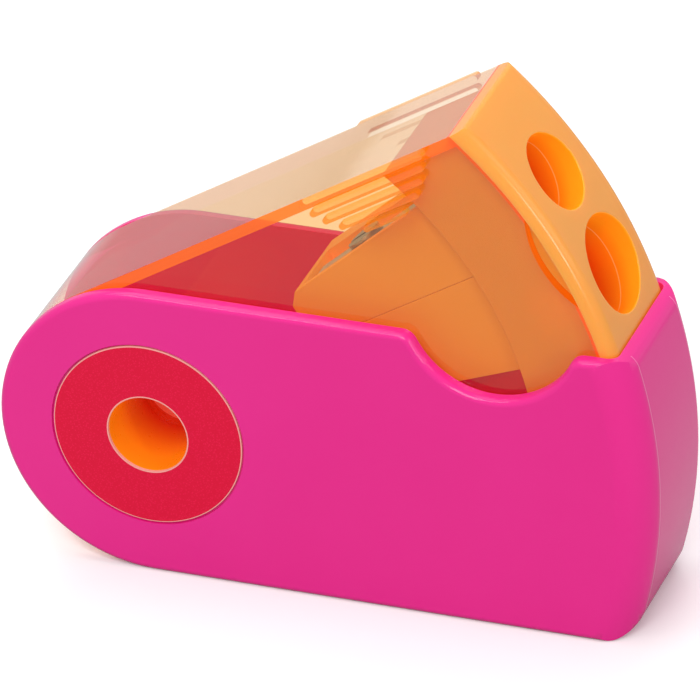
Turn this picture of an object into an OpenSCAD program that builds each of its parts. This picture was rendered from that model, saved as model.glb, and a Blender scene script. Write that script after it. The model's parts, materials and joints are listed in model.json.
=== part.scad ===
// Twin-hole pencil sharpener: a clear shavings box swings out of a rigid sleeve about a hollow pivot.
// The origin is the middle of the footprint, on the surface the sleeve stands on. +Z is up, +X points
// from the pivot towards the pencil holes, and +Y points to the rear cheek.

/* [Sleeve] */
// Radius of the round end about the pivot, and half the sleeve's height
round_r = 16; // [15.8:0.1:16.2]
// Radius about the pivot of the curved outer end
end_r = 53; // [53:0.1:54]
// Width over both cheeks
sleeve_w = 18.8; // [18.8:0.1:19.4]
// Thickness of each cheek and of the floor
cheek_t = 1.4; // [1.3:0.05:1.4]
// Thickness of the curved end wall
end_t = 1.2; // [1:0.1:1.2]
// Rounding of the two upright corners between the cheeks and the end wall
end_round = 3.2; // [2.5:0.1:3.3]
// Rounding between the floor and the end wall, seen from the side
toe_round = 3.6; // [3:0.1:4]
// Radius of the finger scoops in the cheeks
scoop_r = 9; // [8.9:0.05:9.2]

/* [Shavings box] */
// Angle that the box is swung up from closed
open_angle = 31; // [25:1:40]
// Thickness of the clear walls
box_wall = 1.2; // [1:0.05:1.3]
// Gap between the box and the sleeve, on each side
side_gap = 0.15; // [0.1:0.01:0.2]
// Radius about the pivot of the box's open rim
rim_r = 50.1; // [49.8:0.1:50.2]
// Height that the grip ribs stand out of the side walls
rib_h = 1.1; // [0.8:0.1:1.2]
// Number of grip ribs on each side
rib_count = 5; // [4:1:5]
// Distance from one grip rib to the next
rib_pitch = 1.18; // [1.1:0.01:1.18]

/* [Pencil holes] */
// Radius of the hole for standard pencils
standard_r = 4.15; // [4:0.05:4.2]
// Radius of the hole for jumbo pencils
jumbo_r = 5.1; // [5:0.05:5.2]
// Height of the standard hole above the box's middle line
standard_z = 6.1; // [6:0.05:6.2]
// Height of the jumbo hole, below the box's middle line
jumbo_z = -4.9; // [-5:0.05:-4.8]
// Half angle of the sharpening cones
cone_angle = 10.5; // [10.4:0.1:11.5]

/* [Sharpener head] */
// Radius about the pivot of the head's outer face
head_r = 51.6; // [51.4:0.1:51.6]
// Radius about the pivot of the inner edge of the plug
plug_r = 40.6; // [40:0.1:41]
// Wall thickness of the plug
plug_t = 1.05; // [1:0.05:1.1]

/* [Pivot] */
// Bore radius of the hollow pivot
pivot_bore_r = 4.2; // [4:0.05:4.3]
// Outer radius of the hollow pivot
pivot_r = 5.4; // [5.3:0.05:5.5]
// Radial running clearance between the box and the pivot
pivot_gap = 0.06; // [0.03:0.01:0.08]
// Outer radius of the label rings
label_r = 10.1; // [9.5:0.1:10.3]

/* [Blades] */
// Thickness of the blades
blade_t = 0.6; // [0.5:0.05:0.6]
// Length of the blades
blade_len = 19; // [18:0.5:19]

/* [Hidden] */
$fn = 96;

cheek_y = sleeve_w / 2;
inner_y = cheek_y - cheek_t;
box_y = inner_y - side_gap;
box_inner_y = box_y - box_wall;
plug_y = box_inner_y - 0.05;
cavity_r = end_r - end_t;
floor_z = -round_r + cheek_t;
box_floor_z = floor_z + 0.2;
floor_start_x = 8;
pivot_x = (round_r - end_r) / 2;
beyond = 80;
cut = 0.5;

scoop_x = 36.6;
scoop_z = 19.1;
grip_x = 36.8;
grip_z = 18.55;
grip_r = 8.05;
rib_t = 0.7;
notch_r = 11.2;
notch_x = rim_r + 9.6;
box_corner_round = 1.2;
head_round = 1.5;

label_recess = 0.35;
label_t = 0.3;
flange_r = 8;
flange_t = 0.45;
flange_outer_y = cheek_y - label_recess;
flange_inner_y = flange_outer_y - flange_t;
bore_end_y = 0;
web_y = 0.8;
web_t = 1.5;
spigot_r = 4.8;
spigot_len = 2.5;

guide_end_x = 44;
guide_wall = 1;
wedge_tip_x = 20.3;
wedge_y = plug_y - plug_t - 0.05;
seam_z = 1.05;
nose = 1.1;
seat_drop = 0.4;
flank_rise = 0.65;
standard_len = (standard_r - 0.05) / tan(cone_angle);
jumbo_len = (jumbo_r - 0.05) / tan(cone_angle);
edge_y = 0.35;
blade_w = 5;
blade_back_y = edge_y - blade_w;
screw_standard_x = 8.5;
screw_jumbo_x = 5;
screw_y = blade_back_y + 2;
screw_head_r = 1.9;
screw_head_t = 0.8;
screw_r = 0.8;
screw_len = 1.6;
grind_angle = 32;

// Lays an outline, drawn as seen from the front, between two planes across Y.
module layer(y0, y1) translate([0, y1, 0]) rotate([90, 0, 0]) linear_extrude(y1 - y0) children();

// Turns a profile, drawn with X as radius and Y as the distance along the pivot, about the pivot's axis.
module about_pivot() rotate([-90, 0, 0]) rotate_extrude($fn = 180) children();

// A band along the pivot with rounded ends at its outer radius.
module rounded_band(radius, half_w, corner) {
    translate([0, -half_w]) square([radius - corner, 2 * half_w]);
    translate([0, corner - half_w]) square([radius, 2 * (half_w - corner)]);
    for (side = [-1, 1]) translate([radius - corner, side * (half_w - corner)]) circle(corner);
}

// Places geometry drawn about the pivot into the frame of the whole object.
module at_pivot() translate([pivot_x, 0, round_r]) children();

// As at_pivot, swung up with the box.
module swung() at_pivot() rotate([0, -open_angle, 0]) children();

module toe_outline() {
    toe_z = -round_r + toe_round;
    toe_x = sqrt(pow(end_r - toe_round, 2) - pow(toe_z, 2));
    stretch = end_r / (end_r - toe_round);
    difference() {
        children();
        polygon([[toe_x, toe_z], [toe_x, -round_r - cut], [end_r, -round_r - cut],
                 [end_r + cut, toe_z * stretch], [toe_x * stretch, toe_z * stretch]]);
    }
    translate([toe_x, toe_z]) circle(toe_round);
}

module sleeve_outline() toe_outline() intersection() {
    circle(end_r, $fn = 180);
    union() {
        circle(round_r);
        translate([0, -round_r]) square([end_r + cut, 2 * round_r]);
    }
}

module cavity_outline() intersection() {
    circle(cavity_r, $fn = 180);
    union() {
        translate([-beyond, -beyond]) square([beyond + floor_start_x, 2 * beyond]);
        translate([0, floor_z]) square(beyond);
    }
}

module sleeve() color("deeppink") at_pivot() difference() {
    intersection() {
        layer(-cheek_y, cheek_y) sleeve_outline();
        about_pivot() rounded_band(end_r, cheek_y, end_round);
    }
    intersection() {
        layer(-inner_y, inner_y) cavity_outline();
        about_pivot() rounded_band(cavity_r, inner_y, box_corner_round);
    }
    layer(-cheek_y - cut, cheek_y + cut) translate([scoop_x, scoop_z]) circle(scoop_r);
    layer(-cheek_y - cut, cheek_y + cut) circle(pivot_r);
    for (side = [-1, 1]) scale([1, side, 1]) {
        layer(flange_outer_y, cheek_y + cut) circle(label_r + 0.1);
        layer(flange_inner_y, cheek_y + cut) circle(flange_r);
    }
}

module box_outline(inset, far_r) intersection() {
    circle(far_r, $fn = 180);
    union() {
        circle(round_r - inset);
        translate([0, box_floor_z + inset]) square([beyond, round_r - box_floor_z - 2 * inset]);
    }
}

// One grip rib: a bar with round ends, as long as the round patch is wide at its height.
module grip_rib(index) {
    z = round_r - rib_t / 2 - index * rib_pitch;
    reach = sqrt(pow(grip_r, 2) - pow(grip_z - z, 2)) - rib_t / 2;
    translate([grip_x - reach, z - rib_t / 2]) square([2 * reach, rib_t]);
    for (side = [-1, 1]) translate([grip_x + side * reach, z]) circle(rib_t / 2, $fn = 24);
}

module shavings_box() color([0.95, 0.55, 0.2, 0.5]) swung() difference() {
    union() {
        layer(-box_y, box_y) box_outline(0, rim_r);
        for (index = [0 : rib_count - 1]) layer(-box_y - rib_h, box_y + rib_h) grip_rib(index);
    }
    layer(-box_inner_y, box_inner_y) box_outline(box_wall, beyond);
    layer(-box_y - cut, box_y + cut) circle(pivot_r + pivot_gap);
    layer(-box_y - cut, box_y + cut) translate([notch_x, 0]) circle(notch_r);
}

// A round bar along the box's length.
module bar(z, radius, x0, x1) translate([x0, 0, z]) rotate([0, 90, 0]) cylinder(h = x1 - x0, r = radius);

module plug_outline(inset) intersection() {
    difference() {
        circle(rim_r, $fn = 180);
        circle(plug_r - 2 * inset, $fn = 180);
    }
    translate([0, box_floor_z + box_wall + 0.05 + inset])
        square([beyond, round_r - box_floor_z - 2 * (box_wall + 0.05 + inset)]);
}

module head_shell() {
    intersection() {
        layer(-box_y, box_y) difference() {
            translate([0, box_floor_z]) square([beyond, round_r - box_floor_z]);
            circle(rim_r, $fn = 180);
        }
        about_pivot() rounded_band(head_r, box_y, head_round);
    }
    difference() {
        layer(-plug_y, plug_y) plug_outline(0);
        layer(plug_t - plug_y, plug_y - plug_t) plug_outline(plug_t);
    }
}

module sharpener_head() color("sandybrown") swung() difference() {
    union() {
        head_shell();
        intersection() {
            union() {
                bar(standard_z, standard_r + guide_wall, guide_end_x, head_r);
                bar(jumbo_z, jumbo_r + guide_wall, guide_end_x, head_r);
            }
            layer(-plug_y, plug_y) circle(head_r - 0.3, $fn = 180);
        }
    }
    bar(standard_z, standard_r, guide_end_x - cut, beyond);
    bar(jumbo_z, jumbo_r, guide_end_x - cut, beyond);
}

// A sharpening cone whose mouth is at the guide's end.
module cone_cavity(z, radius, length) translate([guide_end_x - length, 0, z]) rotate([0, 90, 0])
    cylinder(h = length, r1 = 0, r2 = radius);

// Moves geometry onto the upper flank: X runs along the cone's outermost line and Z points outward.
module on_standard_flank() translate([guide_end_x - standard_len, 0, standard_z])
    rotate([0, -cone_angle, 0]) children();

// The same for the lower flank, upside down, at the same distance from the guide.
module on_jumbo_flank() translate([guide_end_x - jumbo_len, 0, jumbo_z]) scale([1, 1, -1])
    rotate([0, -cone_angle, 0]) translate([(jumbo_len - standard_len) / cos(cone_angle), 0, 0]) children();

// Side outline of a wedge from its seam to its sloping flank; the flank runs along the cone.
module wedge_outline(hole_z, radius, side) {
    flank_z = hole_z + side * (radius + flank_rise);
    drop = (guide_end_x - wedge_tip_x) * tan(cone_angle);
    tip_z = flank_z - side * drop;
    polygon([[guide_end_x, seam_z], [guide_end_x, flank_z],
             [wedge_tip_x + nose, tip_z + side * nose * tan(cone_angle)],
             [wedge_tip_x, tip_z - side * nose], [wedge_tip_x, seam_z]]);
}

// The recess that holds a blade, with the shavings slot beyond its cutting edge.
module blade_recess() translate([0.6, blade_back_y - 0.1, -seat_drop]) cube([blade_len + 1.4, blade_w + 2, 3]);

module wedge_standard() color("orange") swung() difference() {
    layer(-wedge_y, wedge_y) wedge_outline(standard_z, standard_r, 1);
    cone_cavity(standard_z, standard_r - 0.05, standard_len);
    on_standard_flank() {
        blade_recess();
        screw_hole(screw_standard_x);
    }
}

module wedge_jumbo() color("orange") swung() difference() {
    layer(-wedge_y, wedge_y) wedge_outline(jumbo_z, jumbo_r, -1);
    cone_cavity(jumbo_z, jumbo_r - 0.05, jumbo_len);
    on_jumbo_flank() {
        blade_recess();
        screw_hole(screw_jumbo_x);
    }
}

module screw_hole(screw_x) translate([screw_x, screw_y, -seat_drop - screw_len])
    cylinder(h = screw_len + cut, r = screw_r);

// A blade lying on its seat, ground to a cutting edge along one side.
module blade(screw_x) difference() {
    translate([1, blade_back_y, -seat_drop]) cube([blade_len, blade_w, blade_t]);
    translate([0, edge_y, -seat_drop]) rotate([-grind_angle, 0, 0]) translate([0, -2, 0]) cube([beyond, 4, 2]);
    translate([screw_x, screw_y, -seat_drop - cut]) cylinder(h = 2, r = screw_r + 0.1);
}

module screw(screw_x) translate([screw_x, screw_y, -seat_drop]) difference() {
    union() {
        translate([0, 0, -screw_len]) cylinder(h = screw_len + blade_t, r = screw_r);
        translate([0, 0, blade_t]) cylinder(h = screw_head_t, r = screw_head_r);
    }
    translate([-beyond / 2, -0.25, blade_t + screw_head_t / 2]) cube([beyond, 0.5, 1]);
}

module blade_standard() color("silver") swung() on_standard_flank() blade(screw_standard_x);

module blade_jumbo() color("silver") swung() on_jumbo_flank() blade(screw_jumbo_x);

module screw_standard() color("gray") swung() on_standard_flank() screw(screw_standard_x);

module screw_jumbo() color("gray") swung() on_jumbo_flank() screw(screw_jumbo_x);

// A ring about the pivot between two radii and two distances along it.
module ring(r0, r1, y0, y1) layer(y0, y1) difference() {
    circle(r1);
    circle(r0);
}

module pivot_bush_front() color("orange") at_pivot() union() {
    ring(pivot_bore_r, flange_r, -flange_outer_y, -flange_inner_y);
    ring(pivot_bore_r, pivot_r, -flange_inner_y, bore_end_y - spigot_len);
    ring(pivot_bore_r, spigot_r, bore_end_y - spigot_len, bore_end_y);
}

module pivot_bush_rear() color("orange") at_pivot() union() {
    ring(pivot_bore_r, flange_r, flange_inner_y, flange_outer_y);
    ring(pivot_bore_r, pivot_r, web_y + web_t, flange_inner_y);
    layer(web_y, web_y + web_t) circle(pivot_r);
    ring(pivot_bore_r - 0.25, pivot_r, bore_end_y, web_y);
    ring(spigot_r, pivot_r, bore_end_y - spigot_len, bore_end_y);
}

module label_ring_front() color("crimson") at_pivot()
    ring(pivot_bore_r + 0.05, label_r, -flange_outer_y - label_t, -flange_outer_y);

module label_ring_rear() color("crimson") at_pivot()
    ring(pivot_bore_r + 0.05, label_r, flange_outer_y, flange_outer_y + label_t);

sleeve();
shavings_box();
sharpener_head();
wedge_standard();
wedge_jumbo();
blade_standard();
blade_jumbo();
screw_standard();
screw_jumbo();
pivot_bush_front();
pivot_bush_rear();
label_ring_front();
label_ring_rear();
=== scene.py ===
"""A twin-hole pencil sharpener: its clear shavings box stands swung out of a glossy pink sleeve.

Shapes are drawn in millimetres about the pivot, in the sleeve's own directions or in the swung box's,
and are placed in metres in the frame when they are finished.
"""
import json
import math

import bmesh
import bpy
from mathutils import Matrix, Vector


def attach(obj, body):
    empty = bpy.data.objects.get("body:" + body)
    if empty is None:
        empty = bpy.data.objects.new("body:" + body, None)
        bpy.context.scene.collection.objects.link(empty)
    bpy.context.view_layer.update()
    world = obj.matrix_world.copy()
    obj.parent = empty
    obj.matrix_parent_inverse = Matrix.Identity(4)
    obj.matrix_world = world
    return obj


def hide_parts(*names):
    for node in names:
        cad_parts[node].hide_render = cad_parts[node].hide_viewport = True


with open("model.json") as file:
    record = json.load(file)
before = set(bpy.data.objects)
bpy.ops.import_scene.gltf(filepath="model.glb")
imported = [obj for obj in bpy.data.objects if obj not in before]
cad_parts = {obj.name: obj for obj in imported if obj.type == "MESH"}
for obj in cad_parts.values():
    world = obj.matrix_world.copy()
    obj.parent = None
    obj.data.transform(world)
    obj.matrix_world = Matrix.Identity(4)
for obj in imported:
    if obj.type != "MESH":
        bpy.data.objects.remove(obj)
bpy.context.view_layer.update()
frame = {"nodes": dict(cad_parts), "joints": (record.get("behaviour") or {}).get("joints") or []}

MM = 0.001
SWING = frame["joints"][0]
PIVOT = Vector(SWING["pos_m"])
OPEN_ANGLE = math.radians(-SWING["range_deg"][0])
SLEEVE_SPACE = Matrix.Translation(PIVOT) @ Matrix.Scale(MM, 4)
BOX_SPACE = Matrix.Translation(PIVOT) @ Matrix.Rotation(-OPEN_ANGLE, 4, "Y") @ Matrix.Scale(MM, 4)

# -------------------------------------------------------------------------------- sleeve sizes, mm
ROUND_R = 16.0
END_R = 53.0
CHEEK_Y = 9.4
CHEEK_T = 1.4
INNER_Y = CHEEK_Y - CHEEK_T
END_T = 1.2
CAVITY_R = END_R - END_T
FLOOR_Z = -ROUND_R + CHEEK_T
FLOOR_START_X = 8.0
TOE_R = 3.6
END_TOP_R = 2.2
END_STEPS = 22
LIP_ROUND = 0.75
CAVITY_ROUND = 1.0
CREASE_Y = 6.2
CREASE_TURN = 78.0
SCOOP_R = 9.0
SCOOP_X = 36.6
SCOOP_Z = 19.1
SCOOP_BLEND_R = 1.6
BEYOND = 20.0

# ----------------------------------------------------------------------- pivot and label sizes, mm
PIVOT_R = 5.4
FLANGE_R = 8.0
FLANGE_DEPTH = 0.8
BORE_R = 4.2
BORE_MOUTH_ROUND = 0.15
WEB_Y = 1.55
WEB_T = 1.5
LABEL_R = 10.1
LABEL_RECESS_R = 10.32
LABEL_RECESS = 0.35
LABEL_ROUND = 0.08

# ------------------------------------------------------------------- shavings box and head sizes, mm
CLEAR_OUTER_Y = 7.85
CLEAR_TOP_Z = 14.8
CLEAR_ROUND = 0.15
SHORT_EDGE = 0.3
BOX_FLOOR_Z = -14.4
RIM_R = 50.1
HEAD_R = 51.6
HEAD_ROUND = 1.5
HEAD_EDGE_ROUND = 0.45
HEAD_STEPS = 24
PLUG_R = 40.6
PLUG_Y = 6.6
PLUG_LOW_Z = -13.15
PLUG_TOP_Z = 14.75
PLUG_T = 1.05
PLUG_OVERLAP = 0.6
PLUG_ROUND = 0.25
WEDGE_Y = PLUG_Y - PLUG_T - 0.05
WEDGE_ROUND = 0.12
GUIDE_X = 44.0
GUIDE_T = 1.0
HOLES = ((6.1, 4.15), (-4.9, 5.1))
HOLE_ROUND = 0.16
INSERT_X = 48.4
OVERLAP = 0.1
WELD_GAP = 0.002
OUTLINE_GAP = 0.0001

# ---------------------------------------------------------- where a colour begins and ends, mm
MARGIN = 0.05
HOLE_MARGIN = 0.06
LINE_HALF = 0.06
SKIN_DEPTH = 0.4

# ---------------------------------------------------------------------------------------- colours
NO_GLOW = (0, 0, 0)
# strength of the painted glow that the local colourings give
PAINTED_GLOW_STRENGTH = 0.26
SLEEVE_DARK, SLEEVE_LIGHT = (0.79, 0.015, 0.25), (0.82, 0.019, 0.27)
# painted highlight colour for the line along the sleeve's crease
SLEEVE_CREASE_HIGHLIGHT = (0.95, 0.30, 0.55)
# painted glow colour of the sleeve's inside, so that it looks lit
SLEEVE_INSIDE_GLOW = (0.85, 0.045, 0.08)
HEAD_DARK, HEAD_LIGHT = (0.88, 0.33, 0.045), (0.91, 0.36, 0.055)
# painted shade deep in the pencil holes, and the lit colour at their mouths
HOLE_DEEP_SHADE, HOLE_MOUTH_LIT = (0.78, 0.085, 0.003), (0.92, 0.30, 0.008)
# painted highlight colour of the ring where the insert begins
INSERT_RING_HIGHLIGHT = (0.95, 0.50, 0.15)
WEDGE_DARK, WEDGE_LIGHT = (0.90, 0.37, 0.035), (0.94, 0.40, 0.045)
BUSH_DARK, BUSH_LIGHT = (0.90, 0.20, 0.02), (0.93, 0.23, 0.03)
# painted shade in the pivot bore, with the lit amber at its mouths
BORE_MOUTH_LIT, BORE_DEEP_SHADE = (0.80, 0.22, 0.004), (0.62, 0.025, 0.002)
BORE_WEB = (0.80, 0.12, 0.07)
LABEL_DARK, LABEL_LIGHT = (0.72, 0.002, 0.04), (0.80, 0.008, 0.065)
LABEL_RIM = (0.95, 0.55, 0.48)
BLADE_DARK, BLADE_LIGHT = (0.60, 0.59, 0.57), (0.74, 0.73, 0.71)
SCREW_DARK, SCREW_LIGHT = (0.45, 0.45, 0.46), (0.62, 0.62, 0.63)
CLEAR_IOR = 1.5
CLEAR_TINT, CLEAR_SHADOW = (0.965, 0.855, 0.70), (1.0, 0.97, 0.94)
# the clear box's tints by zone: painted shade on the top and the rear top edge, painted deeper colours on
# the ribs and the edge-on walls
CLEAR_ZONES = (
    ("top", (0.90, 0.78, 0.66)),
    ("rear_edge", (0.87, 0.60, 0.40)),
    ("ribs", (0.99, 0.74, 0.34)),
    ("deep", (0.98, 0.50, 0.10)),
)
# colours of the painted glow on the ribs and the edge-on walls
RIB_GLOW, DEEP_GLOW = (0.95, 0.42, 0.03), (0.95, 0.20, 0.004)

# ------------------------------------------------------------------------------------------ camera
VIEW_AZIMUTH = math.radians(20.55)
VIEW_ELEVATION = math.radians(29.84)
VIEW_ROLL = math.radians(-1.99)
VIEW_DISTANCE = 0.8174
AIM = Vector((0, 0, 0.0237))
LENS = 419.8


def make_camera():
    data = bpy.data.cameras.new("studio_camera")
    data.lens = LENS
    data.sensor_width = 36
    data.clip_start = 0.01
    camera = bpy.data.objects.new("studio_camera", data)
    bpy.context.collection.objects.link(camera)
    turn = (
        Matrix.Rotation(VIEW_AZIMUTH, 4, "Z")
        @ Matrix.Rotation(math.pi / 2 - VIEW_ELEVATION, 4, "X")
        @ Matrix.Rotation(VIEW_ROLL, 4, "Z")
    )
    camera.matrix_world = Matrix.Translation(AIM) @ turn @ Matrix.Translation((0, 0, VIEW_DISTANCE))
    bpy.context.scene.camera = camera


# ---------------------------------------------------------------------------------- shader helpers
def add(tree, kind, **inputs):
    """A node of that kind, with its plain input values."""
    node = tree.nodes.new(kind)
    for socket, value in inputs.items():
        node.inputs[socket.replace("_", " ")].default_value = value
    return node


def math_node(tree, operation, first, second):
    node = tree.nodes.new("ShaderNodeMath")
    node.operation = operation
    for socket, value in zip(node.inputs, (first, second)):
        if isinstance(value, (int, float)):
            socket.default_value = value
        else:
            tree.links.new(value, socket)
    return node.outputs[0]


def size_of(tree, value):
    return math_node(tree, "ABSOLUTE", value, 0.0)


def scaled(tree, value, factor, base=0.0):
    """The base plus the value times the factor."""
    product = math_node(tree, "MULTIPLY", value, factor)
    return math_node(tree, "ADD", product, base) if base else product


def above(tree, value, limit):
    return math_node(tree, "GREATER_THAN", value, limit)


def below(tree, value, limit):
    return math_node(tree, "LESS_THAN", value, limit)


def near(tree, value, target, reach):
    """1 where a value lies within reach of a target."""
    return below(tree, size_of(tree, math_node(tree, "SUBTRACT", value, target)), reach)


def rising(tree, value, low, high):
    """0 below low, 1 above high, straight between."""
    node = add(tree, "ShaderNodeMapRange")
    tree.links.new(value, node.inputs["Value"])
    node.inputs["From Min"].default_value = low
    node.inputs["From Max"].default_value = high
    return node.outputs["Result"]


def both(tree, mask, *others):
    """1 where every mask is 1."""
    for other in others:
        mask = math_node(tree, "MULTIPLY", mask, other)
    return mask


def either(tree, mask, *others):
    """1 where any mask is 1."""
    for other in others:
        mask = math_node(tree, "MAXIMUM", mask, other)
    return mask


def outside(tree, mask):
    return math_node(tree, "SUBTRACT", 1.0, mask)


def tint(tree, factor, first, second):
    """A colour between two, by a factor."""
    node = tree.nodes.new("ShaderNodeMix")
    node.data_type = "RGBA"
    tree.links.new(factor, node.inputs["Factor"])
    for name, value in (("A", first), ("B", second)):
        socket = [s for s in node.inputs if s.name == name and s.type == "RGBA"][0]
        if isinstance(value, tuple):
            socket.default_value = (*value, 1)
        else:
            tree.links.new(value, socket)
    return [s for s in node.outputs if s.type == "RGBA"][0]


def placed(tree, space):
    """X, Y and Z in millimetres in one of the two drawing spaces, from the object's own coordinates."""
    back = space.inverted()
    mapping = tree.nodes.new("ShaderNodeMapping")
    mapping.inputs["Location"].default_value = back.to_translation()
    mapping.inputs["Rotation"].default_value = back.to_euler()
    mapping.inputs["Scale"].default_value = back.to_scale()
    tree.links.new(tree.nodes.new("ShaderNodeTexCoord").outputs["Object"], mapping.inputs["Vector"])
    split = tree.nodes.new("ShaderNodeSeparateXYZ")
    tree.links.new(mapping.outputs[0], split.inputs[0])
    return split.outputs


def distance(tree, first, second, second_centre=0.0):
    """How far a point is from an axis, from its two coordinates across that axis."""
    offset = math_node(tree, "SUBTRACT", second, second_centre)
    total = math_node(tree, "ADD", math_node(tree, "MULTIPLY", first, first),
                      math_node(tree, "MULTIPLY", offset, offset))
    return math_node(tree, "SQRT", total, 0.0)


def noise(tree, vector, scale, detail=2.0, roughness=0.5):
    node = add(tree, "ShaderNodeTexNoise", Scale=scale, Detail=detail, Roughness=roughness)
    tree.links.new(vector, node.inputs["Vector"])
    return node.outputs["Fac"]


def bump(tree, height, relief):
    node = add(tree, "ShaderNodeBump", Strength=1.0, Distance=relief)
    tree.links.new(height, node.inputs["Height"])
    return node.outputs["Normal"]


def shader_sum(tree, first, second):
    node = tree.nodes.new("ShaderNodeAddShader")
    tree.links.new(first.outputs[0], node.inputs[0])
    tree.links.new(second.outputs[0], node.inputs[1])
    return node


def shader_mix(tree, factor, first, second):
    """The first shader where the factor is 0, the second where it is 1."""
    node = tree.nodes.new("ShaderNodeMixShader")
    tree.links.new(factor, node.inputs["Fac"])
    tree.links.new(first.outputs[0], node.inputs[1])
    tree.links.new(second.outputs[0], node.inputs[2])
    return node


def make_skin_group():
    """Moulded surface: broad flow tone, slow ripple and fine grain, from the object's own coordinates."""
    group = bpy.data.node_groups.new("moulded_skin", "ShaderNodeTree")
    for name, default in (("Roughness", 0.3), ("Roughness Spread", 0.05), ("Grain Scale", 1500.0),
                          ("Grain Depth", 0.3), ("Ripple Depth", 0.5)):
        socket = group.interface.new_socket(name, in_out="INPUT", socket_type="NodeSocketFloat")
        socket.default_value = default
    for name in ("Roughness", "Height", "Tone"):
        group.interface.new_socket(name, in_out="OUTPUT", socket_type="NodeSocketFloat")
    inlet = group.nodes.new("NodeGroupInput")
    outlet = group.nodes.new("NodeGroupOutput")
    place = group.nodes.new("ShaderNodeTexCoord").outputs["Object"]
    tone = noise(group, place, 90.0, 3.0)
    ripple = noise(group, place, 260.0, 1.0)
    grain_node = add(group, "ShaderNodeTexNoise", Detail=2.0)
    group.links.new(place, grain_node.inputs["Vector"])
    group.links.new(inlet.outputs["Grain Scale"], grain_node.inputs["Scale"])
    grain = grain_node.outputs["Fac"]
    unevenness = math_node(group, "SUBTRACT", math_node(group, "ADD", tone, grain), 1.0)
    spread = math_node(group, "MULTIPLY", unevenness, inlet.outputs["Roughness Spread"])
    rough = math_node(group, "ADD", inlet.outputs["Roughness"], spread)
    height = math_node(group, "ADD", math_node(group, "MULTIPLY", ripple, inlet.outputs["Ripple Depth"]),
                       math_node(group, "MULTIPLY", grain, inlet.outputs["Grain Depth"]))
    group.links.new(rough, outlet.inputs["Roughness"])
    group.links.new(height, outlet.inputs["Height"])
    group.links.new(tone, outlet.inputs["Tone"])
    return group


SKIN = make_skin_group()


def skin(tree, **values):
    node = tree.nodes.new("ShaderNodeGroup")
    node.node_tree = SKIN
    for name, value in values.items():
        node.inputs[name.replace("_", " ")].default_value = value
    return node


def blank_material(name):
    material = bpy.data.materials.new(name)
    material.use_nodes = True
    tree = material.node_tree
    tree.nodes.clear()
    return material, tree, tree.nodes.new("ShaderNodeOutputMaterial")


# ----------------------------------------------------------------------------- opaque materials
def plastic(name, dark, light, relief, ior=1.46, subsurface=0.0, local=None, **skin_values):
    """Opaque moulded plastic: a colour between dark and light, gloss and grain from the shared skin.

    local(tree, colour) may paint light or shade into the colour in places and give a faint painted glow.
    """
    material, tree, outlet = blank_material(name)
    surface = skin(tree, **skin_values)
    shader = add(tree, "ShaderNodeBsdfPrincipled", IOR=ior)
    if subsurface:
        shader.inputs["Subsurface Weight"].default_value = subsurface
        shader.inputs["Subsurface Radius"].default_value = (1.0, 0.45, 0.2)
        shader.inputs["Subsurface Scale"].default_value = 0.003
    colour = tint(tree, surface.outputs["Tone"], dark, light)
    if local:
        # painted glow: emission in the colours that local() paints
        colour, glow = local(tree, colour)
        tree.links.new(glow, shader.inputs["Emission Color"])
        shader.inputs["Emission Strength"].default_value = PAINTED_GLOW_STRENGTH
    tree.links.new(colour, shader.inputs["Base Color"])
    tree.links.new(surface.outputs["Roughness"], shader.inputs["Roughness"])
    tree.links.new(bump(tree, surface.outputs["Height"], relief), shader.inputs["Normal"])
    tree.links.new(shader.outputs[0], outlet.inputs["Surface"])
    return material


def sleeve_crease_highlight_and_glow(tree, colour):
    """A painted highlight, a pale line where the corner's rounding meets the end wall, and a painted glow
    on the inside.
    """
    x, y, z = placed(tree, SLEEVE_SPACE)
    across = size_of(tree, y)
    reach = distance(tree, x, z)
    # painted highlight: a lighter pink line along the crease
    line = both(tree, near(tree, across, CREASE_Y, LINE_HALF), above(tree, reach, END_R - 0.5))
    # painted glow: the inside of the sleeve glows red, so that it looks lit
    inside = both(tree, below(tree, across, INNER_Y + MARGIN), below(tree, reach, CAVITY_R + MARGIN),
                  above(tree, z, FLOOR_Z - MARGIN))
    colour = tint(tree, scaled(tree, line, 0.5), colour, SLEEVE_CREASE_HIGHLIGHT)
    return colour, tint(tree, inside, NO_GLOW, SLEEVE_INSIDE_GLOW)


def hole_shade_highlight_and_glow(tree, colour):
    """The pencil holes' walls with painted shade, redder and darker with depth, a painted highlight ring
    where the insert begins, and a painted glow in the same colours.
    """
    x, y, z = placed(tree, BOX_SPACE)
    inside = either(tree, *(below(tree, distance(tree, y, z, centre), radius + HOLE_MARGIN)
                            for centre, radius in HOLES))
    # painted shade: darker and redder deeper in the hole
    wall = tint(tree, rising(tree, x, INSERT_X - 2.5, INSERT_X + 1.5), HOLE_DEEP_SHADE, HOLE_MOUTH_LIT)
    # painted highlight: a pale ring at the insert's start
    ring = scaled(tree, near(tree, x, INSERT_X, LINE_HALF), 0.5)
    wall = tint(tree, ring, wall, INSERT_RING_HIGHLIGHT)
    # painted glow: the hole walls glow in their painted colours
    return tint(tree, inside, colour, wall), tint(tree, inside, NO_GLOW, wall)


def bore_shade_and_glow(tree, colour):
    """The hollow pivot's wall with painted shade, from amber at its mouths to dark red inside, the paler
    web across it, and a painted glow in these colours.
    """
    x, y, z = placed(tree, SLEEVE_SPACE)
    inside = below(tree, distance(tree, x, z), BORE_R + HOLE_MARGIN)
    from_web = size_of(tree, math_node(tree, "SUBTRACT", y, WEB_Y))
    # painted shade: darker red towards the web
    wall = tint(tree, rising(tree, from_web, 8.0, 2.0), BORE_MOUTH_LIT, BORE_DEEP_SHADE)
    wall = tint(tree, near(tree, y, WEB_Y, WEB_T / 2 + MARGIN), wall, BORE_WEB)
    # painted glow: the bore glows in these colours
    return tint(tree, inside, colour, wall), tint(tree, inside, NO_GLOW, wall)


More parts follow.
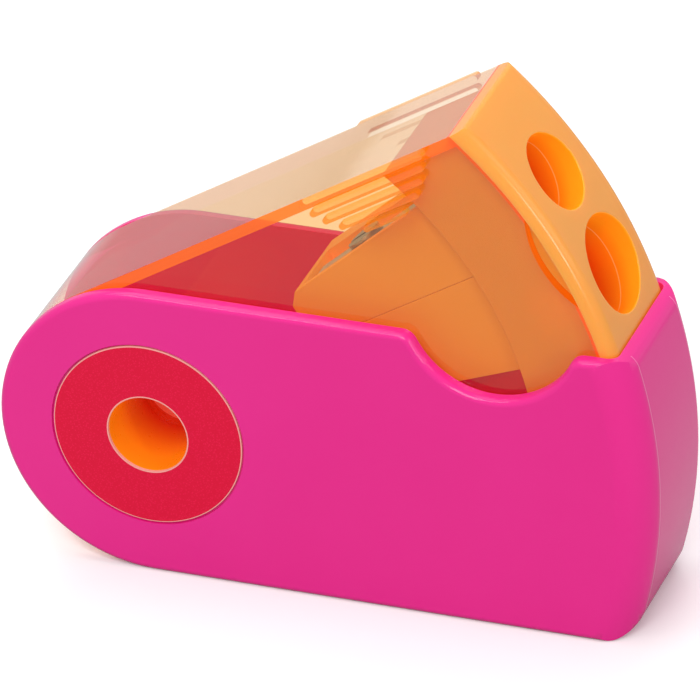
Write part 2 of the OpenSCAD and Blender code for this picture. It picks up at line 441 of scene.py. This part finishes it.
def label_film():
    """Printed film: crimson with a fine even speckle under a satin varnish, and pale cut rims."""
    material, tree, outlet = blank_material("label_crimson")
    surface = skin(tree, Roughness=0.36, Roughness_Spread=0.08, Grain_Scale=5200.0,
                   Ripple_Depth=0.3, Grain_Depth=0.8)
    speckle = add(tree, "ShaderNodeTexVoronoi", Scale=4200.0)
    tree.links.new(tree.nodes.new("ShaderNodeTexCoord").outputs["Object"], speckle.inputs["Vector"])
    ramp = tree.nodes.new("ShaderNodeValToRGB")
    light_stop, dark_stop = ramp.color_ramp.elements
    light_stop.position = 0.15
    light_stop.color = (1, 1, 1, 1)
    dark_stop.position = 0.45
    dark_stop.color = (0, 0, 0, 1)
    tree.links.new(speckle.outputs["Distance"], ramp.inputs["Fac"])
    colour = tint(tree, ramp.outputs["Color"], LABEL_DARK, LABEL_LIGHT)
    x, _, z = placed(tree, SLEEVE_SPACE)
    reach = distance(tree, x, z)
    rims = either(tree, below(tree, reach, BORE_R + 0.18), above(tree, reach, LABEL_R - 0.12))
    shader = add(tree, "ShaderNodeBsdfPrincipled", IOR=1.3)
    tree.links.new(tint(tree, scaled(tree, rims, 0.7), colour, LABEL_RIM), shader.inputs["Base Color"])
    tree.links.new(surface.outputs["Roughness"], shader.inputs["Roughness"])
    tree.links.new(bump(tree, surface.outputs["Height"], 6e-6), shader.inputs["Normal"])
    tree.links.new(shader.outputs[0], outlet.inputs["Surface"])
    return material


def steel(name, dark, light, stretch, roughness):
    """Ground steel: fine lines along one direction in tone, gloss and relief."""
    material, tree, outlet = blank_material(name)
    mapping = add(tree, "ShaderNodeMapping", Scale=stretch)
    tree.links.new(tree.nodes.new("ShaderNodeTexCoord").outputs["Object"], mapping.inputs["Vector"])
    lines = noise(tree, mapping.outputs[0], 900.0, 4.0, 0.6)
    shader = add(tree, "ShaderNodeBsdfPrincipled", Metallic=1.0)
    tree.links.new(tint(tree, lines, dark, light), shader.inputs["Base Color"])
    tree.links.new(scaled(tree, lines, 0.2, roughness), shader.inputs["Roughness"])
    tree.links.new(bump(tree, lines, 4e-6), shader.inputs["Normal"])
    tree.links.new(shader.outputs[0], outlet.inputs["Surface"])
    return material


# -------------------------------------------------------------------------------- clear material
def clear_zones(tree, sideways):
    """Masks over the clear box: deep orange edges and amber ribs, which get a painted glow, the rear top
    edge and the top, which get painted shade, and the glossy skin.
    """
    x, y, z = placed(tree, BOX_SPACE)
    across = size_of(tree, y)
    reach = distance(tree, x, z)
    front = below(tree, y, 0.0)
    at_round_end = below(tree, x, 0.0)
    outer = above(tree, across, CLEAR_OUTER_Y - 0.35)
    rib = above(tree, across, CLEAR_OUTER_Y + MARGIN)
    over_top = either(tree, above(tree, z, CLEAR_TOP_Z),
                      both(tree, at_round_end, above(tree, reach, CLEAR_TOP_Z)))
    front_edge = both(tree, outer, over_top, above(tree, sideways, 0.3), outside(tree, rib), front)
    rim_sides = both(tree, above(tree, reach, RIM_R - 2.2), below(tree, sideways, 0.9),
                     below(tree, z, ROUND_R - 0.3))
    skin_side = either(
        tree, outer,
        above(tree, z, ROUND_R - SKIN_DEPTH),
        above(tree, reach, RIM_R - SKIN_DEPTH),
        below(tree, z, BOX_FLOOR_Z + SKIN_DEPTH),
        both(tree, at_round_end, above(tree, reach, ROUND_R - SKIN_DEPTH)),
    )
    rib_flank = both(tree, rib, below(tree, sideways, 0.95))
    return {
        "deep": either(tree, front_edge, rim_sides, above(tree, reach, RIM_R - 0.3)),
        "rear_edge": both(tree, outer, above(tree, z, CLEAR_TOP_Z - 0.4), below(tree, z, ROUND_R - 0.1),
                          outside(tree, front)),
        "top": above(tree, z, ROUND_R - MARGIN),
        "ribs": both(tree, rib, scaled(tree, front, 0.95, 0.05)),
        "skin": both(tree, skin_side, outside(tree, rib_flank)),
    }


def clear_orange():
    """Clear tinted plastic, with painted light and shade: a painted deep orange glow where the walls are
    seen edge on, painted amber on the grip ribs, and painted darker tints on the top and the rear top
    edge.
    """
    material, tree, outlet = blank_material("clear_orange")
    surface = skin(tree, Roughness=0.03, Roughness_Spread=0.02, Ripple_Depth=1.0, Grain_Depth=0.05)
    geometry = tree.nodes.new("ShaderNodeNewGeometry")
    facing = tree.nodes.new("ShaderNodeSeparateXYZ")
    tree.links.new(geometry.outputs["Normal"], facing.inputs[0])
    zones = clear_zones(tree, size_of(tree, facing.outputs["Y"]))
    shadow = tree.nodes.new("ShaderNodeLightPath").outputs["Is Shadow Ray"]

    body = tint(tree, shadow, CLEAR_TINT, CLEAR_SHADOW)
    # painted light and shade: darker tints on the top and rear top edge, amber and deep orange on the ribs
    # and edges
    for zone, colour in CLEAR_ZONES:
        body = tint(tree, zones[zone], body, colour)
    through = tree.nodes.new("ShaderNodeBsdfTransparent")
    tree.links.new(body, through.inputs["Color"])

    # painted glow: the ribs and the edge-on walls glow orange and scatter it
    edge_colour = tint(tree, zones["deep"], RIB_GLOW, DEEP_GLOW)
    scattered = tree.nodes.new("ShaderNodeBsdfTranslucent")
    painted_edge_glow = add(tree, "ShaderNodeEmission", Strength=0.4)
    for shader in (scattered, painted_edge_glow):
        tree.links.new(edge_colour, shader.inputs["Color"])
    share = either(tree, scaled(tree, zones["deep"], 0.7), scaled(tree, zones["ribs"], 0.3))
    coloured = shader_mix(tree, share, through, shader_sum(tree, scattered, painted_edge_glow))

    gloss = add(tree, "ShaderNodeBsdfGlossy", Color=(1, 1, 1, 1))
    tree.links.new(surface.outputs["Roughness"], gloss.inputs["Roughness"])
    tree.links.new(bump(tree, surface.outputs["Height"], 2e-6), gloss.inputs["Normal"])
    fresnel = tree.nodes.new("ShaderNodeFresnel")
    index = scaled(tree, geometry.outputs["Backfacing"], 1 / CLEAR_IOR - CLEAR_IOR, CLEAR_IOR)
    tree.links.new(index, fresnel.inputs["IOR"])
    level = both(tree, scaled(tree, zones["skin"], 0.95, 0.25), outside(tree, shadow))
    glossy = shader_mix(tree, both(tree, fresnel.outputs[0], level), coloured, gloss)
    tree.links.new(glossy.outputs[0], outlet.inputs["Surface"])
    return material


SLEEVE_PINK = plastic("sleeve_pink", SLEEVE_DARK, SLEEVE_LIGHT, 3e-6, ior=1.40, local=sleeve_crease_highlight_and_glow,
                      Roughness=0.09, Roughness_Spread=0.03, Ripple_Depth=1.0, Grain_Depth=0.0)
HEAD_ORANGE = plastic("head_orange", HEAD_DARK, HEAD_LIGHT, 4e-6, subsurface=0.4, local=hole_shade_highlight_and_glow,
                      Roughness=0.19, Roughness_Spread=0.04, Ripple_Depth=0.6, Grain_Depth=0.12)
WEDGE_ORANGE = plastic("wedge_orange", WEDGE_DARK, WEDGE_LIGHT, 6e-6,
                       Roughness=0.45, Roughness_Spread=0.08, Ripple_Depth=0.5, Grain_Depth=0.2)
BUSH_ORANGE = plastic("bush_orange", BUSH_DARK, BUSH_LIGHT, 3e-6, local=bore_shade_and_glow,
                      Roughness=0.28, Roughness_Spread=0.05, Ripple_Depth=0.7, Grain_Depth=0.3)
CLEAR_ORANGE = clear_orange()
LABEL_CRIMSON = label_film()
BLADE_STEEL = steel("blade_steel", BLADE_DARK, BLADE_LIGHT, (1.0, 0.2, 3.0), 0.36)
SCREW_STEEL = steel("screw_steel", SCREW_DARK, SCREW_LIGHT, (1.0, 1.0, 1.0), 0.25)


# ------------------------------------------------------------------------------- modelling helpers
class Outline:
    """A closed outline in the XZ plane, drawn point by point and arc by arc, in millimetres."""

    def __init__(self, x, z):
        self.bm = bmesh.new()
        self.tip = self.bm.verts.new((x, 0, z))

    def line(self, x, z):
        made = bmesh.ops.extrude_vert_indiv(self.bm, verts=[self.tip])
        self.tip = made["verts"][0]
        self.tip.co = (x, 0, z)
        return self

    def arc(self, x, z, degrees, steps):
        """Turns about (x, z): a positive angle is anticlockwise seen from the front."""
        made = bmesh.ops.spin(self.bm, geom=[self.tip], cent=(x, 0, z), axis=(0, -1, 0),
                              angle=math.radians(degrees), steps=steps)
        self.tip = [v for v in made["geom_last"] if isinstance(v, bmesh.types.BMVert)][0]
        return self

    def slab(self, y0, y1):
        """The outline, closed and filled, as a solid between two planes across Y."""
        bm = self.bm
        bmesh.ops.remove_doubles(bm, verts=bm.verts, dist=OUTLINE_GAP)
        bmesh.ops.contextual_create(bm, geom=bm.edges[:])
        bmesh.ops.translate(bm, verts=bm.verts, vec=(0, y0, 0))
        made = bmesh.ops.extrude_face_region(bm, geom=bm.faces[:])
        far = [v for v in made["geom"] if isinstance(v, bmesh.types.BMVert)]
        bmesh.ops.translate(bm, verts=far, vec=(0, y1 - y0, 0))
        bmesh.ops.recalc_face_normals(bm, faces=bm.faces)
        return bm


def bar(radius, length, middle, turn_axis, steps):
    """A round bar about its middle, turned from upright a quarter round that axis."""
    bm = bmesh.new()
    bmesh.ops.create_cone(bm, cap_ends=True, segments=steps, radius1=radius, radius2=radius, depth=length,
                          matrix=Matrix.Translation(middle) @ Matrix.Rotation(math.pi / 2, 4, turn_axis))
    return bm


def disc(radius, y0, y1, steps=96):
    """A round slab across Y, about the pivot."""
    return bar(radius, y1 - y0, (0, (y0 + y1) / 2, 0), "X", steps)


def rod(radius, z, x0, x1, steps=96):
    """A round bar along X."""
    return bar(radius, x1 - x0, ((x0 + x1) / 2, 0, z), "Y", steps)


def reach_of(vert):
    """How far a vertex is from the pivot's axis."""
    return math.hypot(vert.co.x, vert.co.z)


def temporary(bm):
    mesh = bpy.data.meshes.new("temporary")
    bm.to_mesh(mesh)
    bm.free()
    obj = bpy.data.objects.new("temporary", mesh)
    bpy.context.collection.objects.link(obj)
    return obj


def evaluated(obj, *helpers):
    """The object's mesh with its modifiers applied, as a bmesh; the object and its helpers are removed."""
    graph = bpy.context.evaluated_depsgraph_get()
    bm = bmesh.new()
    bm.from_mesh(obj.evaluated_get(graph).to_mesh())
    for used in (obj, *helpers):
        mesh = used.data
        bpy.data.objects.remove(used)
        bpy.data.meshes.remove(mesh)
    return bm


def combined(bm, operation, *tools):
    """The shape with the tools taken away (DIFFERENCE) or added (UNION)."""
    obj = temporary(bm)
    helpers = [temporary(tool) for tool in tools]
    for helper in helpers:
        boolean = obj.modifiers.new("boolean", "BOOLEAN")
        boolean.operation = operation
        boolean.solver = "EXACT"
        boolean.object = helper
    result = evaluated(obj, *helpers)
    bmesh.ops.remove_doubles(result, verts=result.verts, dist=WELD_GAP)
    bmesh.ops.dissolve_degenerate(result, edges=result.edges, dist=WELD_GAP)
    return result


def soften(bm, width, segments=2, picks=lambda edge: True):
    """Rounds the sharp edges that picks chooses."""
    limit = math.radians(30.0)
    sharp = [e for e in bm.edges if e.is_manifold and e.calc_face_angle(0.0) > limit]
    bmesh.ops.bevel(bm, geom=[e for e in sharp if picks(e)], offset=width, offset_type="OFFSET",
                    affect="EDGES", segments=segments, profile=0.5, material=-1, clamp_overlap=False)
    return bm


def finished(bm, name, node, body, material, space, smooth_degrees=40.0):
    """Places a shape in the frame as a piece that stands for a CAD node and rides on its body."""
    bmesh.ops.transform(bm, matrix=space, verts=bm.verts)
    for face in bm.faces:
        face.smooth = True
    for edge in bm.edges:
        edge.smooth = not (edge.is_manifold and edge.calc_face_angle(0.0) > math.radians(smooth_degrees))
    mesh = bpy.data.meshes.new(name)
    bm.to_mesh(mesh)
    bm.free()
    mesh.materials.append(material)
    piece = bpy.data.objects.new(name, mesh)
    bpy.context.collection.objects.link(piece)
    normals = piece.modifiers.new("even_normals", "WEIGHTED_NORMAL")
    normals.keep_sharp = True
    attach(piece, body)
    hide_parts(node)
    return piece


# -------------------------------------------------------------------------------------- the sleeve
def end_arc():
    """Start and end angles of the end wall, between the toe's rounding and the top's."""
    low = math.asin((TOE_R - ROUND_R) / (END_R - TOE_R))
    high = math.asin((ROUND_R - END_TOP_R) / (END_R - END_TOP_R))
    return math.degrees(low), math.degrees(high)


def sleeve_outline():
    """The sleeve seen from the front, with its scoop and the rounding of the end wall's two ends."""
    low, high = end_arc()
    toe_x = (END_R - TOE_R) * math.cos(math.radians(low))
    top_x = (END_R - END_TOP_R) * math.cos(math.radians(high))
    blend_z = ROUND_R - SCOOP_BLEND_R
    reach = SCOOP_R + SCOOP_BLEND_R
    half = math.sqrt(reach ** 2 - (SCOOP_Z - blend_z) ** 2)
    lean = math.degrees(math.asin((SCOOP_Z - blend_z) / reach))
    outline = Outline(0, ROUND_R)
    outline.arc(0, 0, 180, 64)
    outline.line(toe_x, -ROUND_R)
    outline.arc(toe_x, TOE_R - ROUND_R, 90 + low, 10)
    outline.arc(0, 0, high - low, END_STEPS)
    outline.arc(top_x, ROUND_R - END_TOP_R, 90 - high, 8)
    outline.line(SCOOP_X + half, ROUND_R)
    outline.arc(SCOOP_X + half, blend_z, 90 - lean, 8)
    outline.arc(SCOOP_X, SCOOP_Z, -(180 - 2 * lean), 40)
    outline.arc(SCOOP_X - half, blend_z, 90 - lean, 8)
    return outline


def corner_cutter(side, radius, half_width, crease_y, turn, low, high, steps):
    """What a rounded upright corner takes away: a curved bar about the pivot, from the side face to
    the crease where the rounding, after its turn, meets the outer face."""
    step = (high - low) / steps
    rounding = (half_width - crease_y) / (1 - math.cos(math.radians(turn)))
    centre_x = radius - rounding * math.sin(math.radians(turn))
    bm = bmesh.new()
    start = bm.verts.new((centre_x, side * half_width, 0))
    spun = bmesh.ops.spin(bm, geom=[start], cent=(centre_x, side * (half_width - rounding), 0),
                          axis=(0, 0, -side), angle=math.radians(turn), steps=10)
    tip = [v for v in spun["geom_last"] if isinstance(v, bmesh.types.BMVert)][0]
    clear = 3
    for x, y in ((radius + clear, crease_y), (radius + clear, half_width + clear),
                 (centre_x, half_width + clear)):
        tip = bmesh.ops.extrude_vert_indiv(bm, verts=[tip])["verts"][0]
        tip.co = (x, side * y, 0)
    bmesh.ops.contextual_create(bm, geom=bm.edges[:])
    spare = 6
    bmesh.ops.rotate(bm, verts=bm.verts, cent=(0, 0, 0),
                     matrix=Matrix.Rotation(math.radians(-(low - spare * step)), 3, "Y"))
    bmesh.ops.spin(bm, geom=bm.faces[:] + bm.edges[:] + bm.verts[:], cent=(0, 0, 0), axis=(0, -1, 0),
                   angle=math.radians(high - low + 2 * spare * step), steps=steps + 2 * spare)
    bmesh.ops.recalc_face_normals(bm, faces=bm.faces)
    return bm


def sleeve_cavity():
    """The space between the cheeks, open upwards and round the pivot's end."""
    low = math.degrees(math.asin(FLOOR_Z / CAVITY_R))
    high = math.degrees(math.asin(BEYOND / CAVITY_R))
    cavity = Outline(-BEYOND, BEYOND)
    cavity.line(-BEYOND, -BEYOND).line(FLOOR_START_X, -BEYOND).line(FLOOR_START_X, FLOOR_Z)
    cavity.line(CAVITY_R * math.cos(math.radians(low)), FLOOR_Z)
    cavity.arc(0, 0, high - low, END_STEPS)
    return soften(cavity.slab(-INNER_Y, INNER_Y), CAVITY_ROUND, 4, lambda edge: all(
        reach_of(v) > CAVITY_R - 0.1 and v.co.z > FLOOR_Z - 0.01 for v in edge.verts))


def make_sleeve():
    body = soften(sleeve_outline().slab(-CHEEK_Y, CHEEK_Y), LIP_ROUND, 3, lambda edge: (
        abs(edge.verts[0].co.y - edge.verts[1].co.y) < 0.1))
    tools = [sleeve_cavity(), disc(PIVOT_R, -BEYOND, BEYOND)]
    for side in (-1, 1):
        tools.append(corner_cutter(side, END_R, CHEEK_Y, CREASE_Y, CREASE_TURN, *end_arc(), END_STEPS))
        for radius, depth in ((LABEL_RECESS_R, LABEL_RECESS), (FLANGE_R, FLANGE_DEPTH)):
            ends = sorted((side * (CHEEK_Y - depth), side * (CHEEK_Y + 2)))
            tools.append(disc(radius, *ends, steps=128))
    body = combined(body, "DIFFERENCE", *tools)
    return finished(body, "sleeve_moulding", "sleeve", "sleeve_body", SLEEVE_PINK,
                    SLEEVE_SPACE)


# -------------------------------------------------------------------------------- the sharpener head
def arc_band(inner, outer, low_z, top_z, half_width):
    """A curved band about the pivot between two heights."""
    def angle(z, radius):
        return math.degrees(math.asin(z / radius))

    def across(z, radius):
        return math.sqrt(radius ** 2 - z ** 2)

    outline = Outline(across(low_z, inner), low_z)
    outline.line(across(low_z, outer), low_z)
    outline.arc(0, 0, angle(top_z, outer) - angle(low_z, outer), HEAD_STEPS)
    outline.line(across(top_z, inner), top_z)
    outline.arc(0, 0, angle(low_z, inner) - angle(top_z, inner), HEAD_STEPS)
    return outline.slab(-half_width, half_width)


def head_face():
    """The curved outer wall, with softened top and bottom edges and rounded upright corners."""
    face = arc_band(RIM_R, HEAD_R, BOX_FLOOR_Z, ROUND_R, CLEAR_OUTER_Y)
    soften(face, HEAD_EDGE_ROUND, 4, lambda edge: all(reach_of(v) > HEAD_R - 0.05 for v in edge.verts)
           and abs(edge.verts[0].co.z - edge.verts[1].co.z) < 0.01)
    low, high = (math.degrees(math.asin(z / HEAD_R)) for z in (BOX_FLOOR_Z, ROUND_R))
    cutters = [corner_cutter(side, HEAD_R, CLEAR_OUTER_Y, CLEAR_OUTER_Y - HEAD_ROUND, 90.0, low, high,
                             HEAD_STEPS) for side in (-1, 1)]
    return combined(face, "DIFFERENCE", *cutters)


def head_plug():
    """The hollow plug that sits inside the shavings box's rim."""
    plug = arc_band(PLUG_R, RIM_R + PLUG_OVERLAP, PLUG_LOW_Z, PLUG_TOP_Z, PLUG_Y)
    soften(plug, PLUG_ROUND, 2, lambda edge: all(reach_of(v) < RIM_R + 0.5 for v in edge.verts))
    hollow = arc_band(PLUG_R - 4, RIM_R - OVERLAP, PLUG_LOW_Z + PLUG_T, PLUG_TOP_Z - PLUG_T,
                      PLUG_Y - PLUG_T)
    return combined(plug, "DIFFERENCE", hollow)


def on_hole_rim(edge):
    """An edge round the outer mouth of a pencil hole."""
    return all(vert.co.x > RIM_R - 2 and any(
        abs(math.hypot(vert.co.y, vert.co.z - z) - radius) < 0.02 for z, radius in HOLES)
        for vert in edge.verts)


def make_head():
    guides = [rod(radius + GUIDE_T, z, GUIDE_X, RIM_R + OVERLAP) for z, radius in HOLES]
    head = combined(head_face(), "UNION", head_plug(), *guides)
    head = combined(head, "DIFFERENCE", *(rod(radius, z, GUIDE_X - 2, HEAD_R + BEYOND)
                                          for z, radius in HOLES))
    soften(head, HOLE_ROUND, 3, on_hole_rim)
    return finished(head, "head_moulding", "sharpener_head", "box_body", HEAD_ORANGE,
                    BOX_SPACE)


# -------------------------------------------------------------------------------- the other pieces
def make_from_cad(node, name, body, material, space, width=0.0, picks=lambda edge: True):
    """A merged copy of a CAD node, with the sharp edges that picks chooses softened to that width."""
    bm = bmesh.new()
    bm.from_mesh(frame["nodes"][node].data)
    bmesh.ops.remove_doubles(bm, verts=bm.verts, dist=1e-7)
    bmesh.ops.transform(bm, matrix=space.inverted(), verts=bm.verts)
    bmesh.ops.dissolve_limit(bm, angle_limit=math.radians(0.6), use_dissolve_boundaries=False,
                             verts=bm.verts, edges=bm.edges)
    if width:
        soften(bm, width, picks=picks)
    return finished(bm, name, node, body, material, space)


def on_clear_box(edge):
    """Any but the short steps round the ribs' ends and those that meet the rim's top corners."""
    at_corner = any(reach_of(vert) > RIM_R - 0.1 and vert.co.z > ROUND_R - 0.1 for vert in edge.verts)
    return edge.calc_length() > SHORT_EDGE and not at_corner


def on_side_face(edge):
    """An edge round a wedge's flat front or rear face."""
    return all(abs(vert.co.y) > WEDGE_Y - 0.01 for vert in edge.verts)


def on_bore_mouth(edge):
    """An edge round the pivot bore's open end."""
    return all(abs(vert.co.y) > CHEEK_Y - LABEL_RECESS - 0.01 and reach_of(vert) < BORE_R + 0.01
               for vert in edge.verts)


def on_film_rim(edge):
    """An edge round the label's outer side."""
    return all(abs(vert.co.y) > CHEEK_Y - 0.06 and reach_of(vert) > LABEL_R - 0.01
               for vert in edge.verts)


# ------------------------------------------------------------------------------------- the studio
def make_floor():
    """A pale floor that looks brighter than the light it throws back on the object."""
    bpy.ops.mesh.primitive_plane_add(size=1.7, location=(0, 0, 0))
    floor = bpy.context.object
    floor.name = "floor"
    material, tree, outlet = blank_material("white_floor")
    lit = add(tree, "ShaderNodeBsdfDiffuse", Color=(0.86, 0.86, 0.86, 1))
    backing = add(tree, "ShaderNodeEmission", Color=(1, 1, 1, 1), Strength=0.14)
    bounced = add(tree, "ShaderNodeBsdfDiffuse", Color=(0.5, 0.5, 0.5, 1))
    seen = tree.nodes.new("ShaderNodeLightPath").outputs["Is Camera Ray"]
    mixed = shader_mix(tree, seen, bounced, shader_sum(tree, lit, backing))
    tree.links.new(mixed.outputs[0], outlet.inputs["Surface"])
    floor.data.materials.append(material)


def area_light(name, place, size, power, mirrored=True):
    """A soft rectangular light that points at the object."""
    data = bpy.data.lights.new(name, "AREA")
    data.shape = "RECTANGLE"
    data.size, data.size_y = size
    data.energy = power
    light = bpy.data.objects.new(name, data)
    light.visible_glossy = mirrored
    bpy.context.collection.objects.link(light)
    away = Vector(place) - Vector((0, 0, 0.02))
    light.matrix_world = Matrix.Translation(place) @ away.to_track_quat("Z", "Y").to_matrix().to_4x4()


def make_world():
    """A white surround: faint for lighting, stronger in reflections and behind the object."""
    world = bpy.data.worlds.new("studio")
    world.use_nodes = True
    tree = world.node_tree
    back = tree.nodes["Background"]
    back.inputs["Color"].default_value = (1, 1, 1, 1)
    path = tree.nodes.new("ShaderNodeLightPath")
    reflected = scaled(tree, path.outputs["Is Glossy Ray"], 0.40)
    seen = scaled(tree, path.outputs["Is Camera Ray"], 0.58)
    level = math_node(tree, "ADD", math_node(tree, "ADD", reflected, seen), 0.42)
    tree.links.new(level, back.inputs["Strength"])
    bpy.context.scene.world = world
    bpy.context.scene.view_settings.view_transform = "Standard"


make_camera()
make_sleeve()
make_from_cad("shavings_box", "clear_box", "box_body", CLEAR_ORANGE, BOX_SPACE,
              CLEAR_ROUND, on_clear_box)
make_head()
for size in ("standard", "jumbo"):
    make_from_cad("wedge_" + size, size + "_wedge", "box_body", WEDGE_ORANGE, BOX_SPACE,
                  WEDGE_ROUND, on_side_face)
    make_from_cad("blade_" + size, size + "_blade", "box_body", BLADE_STEEL, BOX_SPACE)
    make_from_cad("screw_" + size, size + "_screw", "box_body", SCREW_STEEL, BOX_SPACE)
for end in ("front", "rear"):
    make_from_cad("pivot_bush_" + end, end + "_bush", "sleeve_body", BUSH_ORANGE,
                  SLEEVE_SPACE, BORE_MOUTH_ROUND, on_bore_mouth)
    make_from_cad("label_ring_" + end, end + "_label", "sleeve_body", LABEL_CRIMSON,
                  SLEEVE_SPACE, LABEL_ROUND, on_film_rim)

make_floor()
make_world()
area_light("key", (0.10, -0.75, 0.72), (0.45, 0.45), 4.3)
area_light("top", (-0.25, 0.10, 0.9), (0.7, 0.7), 3.0)
area_light("lip", (-0.28, -0.46, 0.75), (0.5, 0.08), 1.4)
area_light("fillet", (0.74, -0.50, 0.27), (0.08, 0.3), 1.0)
area_light("back", (-0.20, 0.80, 0.50), (0.6, 0.4), 3.2, mirrored=False)
area_light("side", (0.85, -0.05, 0.45), (0.5, 0.5), 1.0)
